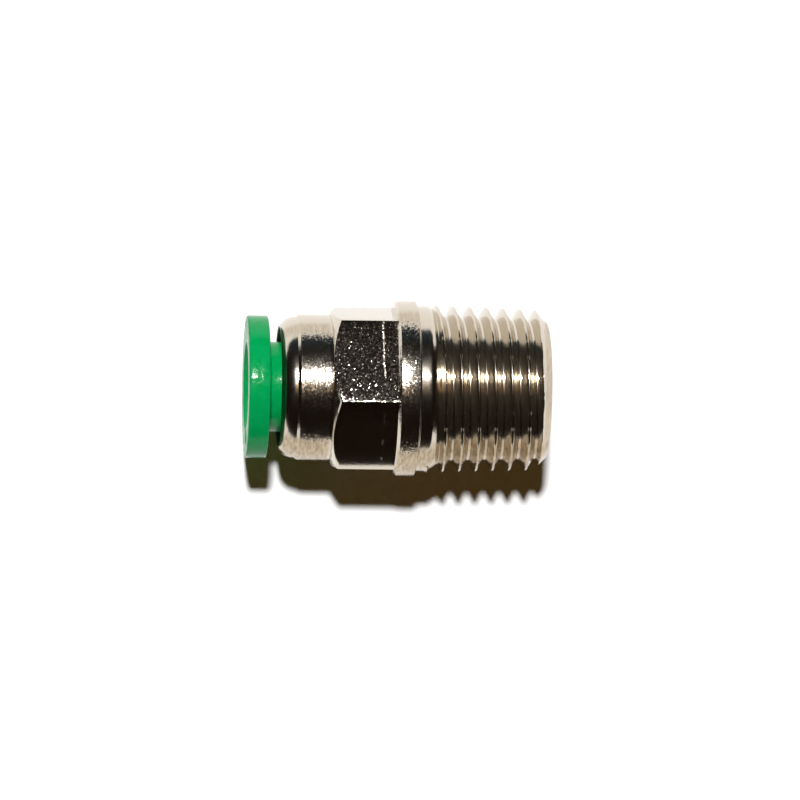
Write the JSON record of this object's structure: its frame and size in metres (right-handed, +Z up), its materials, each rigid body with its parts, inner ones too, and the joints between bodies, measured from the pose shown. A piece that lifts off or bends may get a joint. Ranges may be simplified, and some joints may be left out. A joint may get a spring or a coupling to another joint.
{
  "type": "push to connect fitting",
  "caption": "Straight male push to connect tube fitting with a taper pipe thread, hexagon, collar and a flanged plastic release sleeve.",
  "frame": {"origin": "on the fitting's axis, at the thread side of the round collar", "axes": "+X along the axis towards the pipe thread's small end, so the tube goes in at -X; +Z up, square to the axis, with a hexagon corner 9 degrees from it towards -Y; +Y completes the right-handed frame"},
  "size_m": [0.0241, 0.014, 0.014],
  "materials": {
    "nickel_plated_brass": "bright nickel over turned brass, slightly warm, fine grain",
    "green_acetal": "saturated green, glossy, scuffed",
    "seal_rubber": "black nitrile rubber, satin",
    "white_acetal": "natural acetal, satin",
    "turned_brass": "plain brass, finely turned",
    "spring_steel": "stamped stainless spring steel, lightly brushed"
  },
  "bodies": {
    "housing": {"fitting_body": "nickel_plated_brass", "tube_seal": "seal_rubber", "seal_washer": "white_acetal", "support_ring": "turned_brass", "guide_bush": "turned_brass"},
    "grab_ring": {"grab_ring": "spring_steel"},
    "release_sleeve": {"release_sleeve": "green_acetal"}
  },
  "joints": [
    {"name": "grab_ring_swivel", "type": "hinge", "parent": "housing", "child": "grab_ring", "pos_m": [0, 0, 0], "axis": [1, 0, 0], "continuous": true},
    {"name": "release_sleeve_press", "type": "slide", "parent": "grab_ring", "child": "release_sleeve", "axis": [1, 0, 0], "range_m": [-0.00028, 0.00088]}
  ]
}
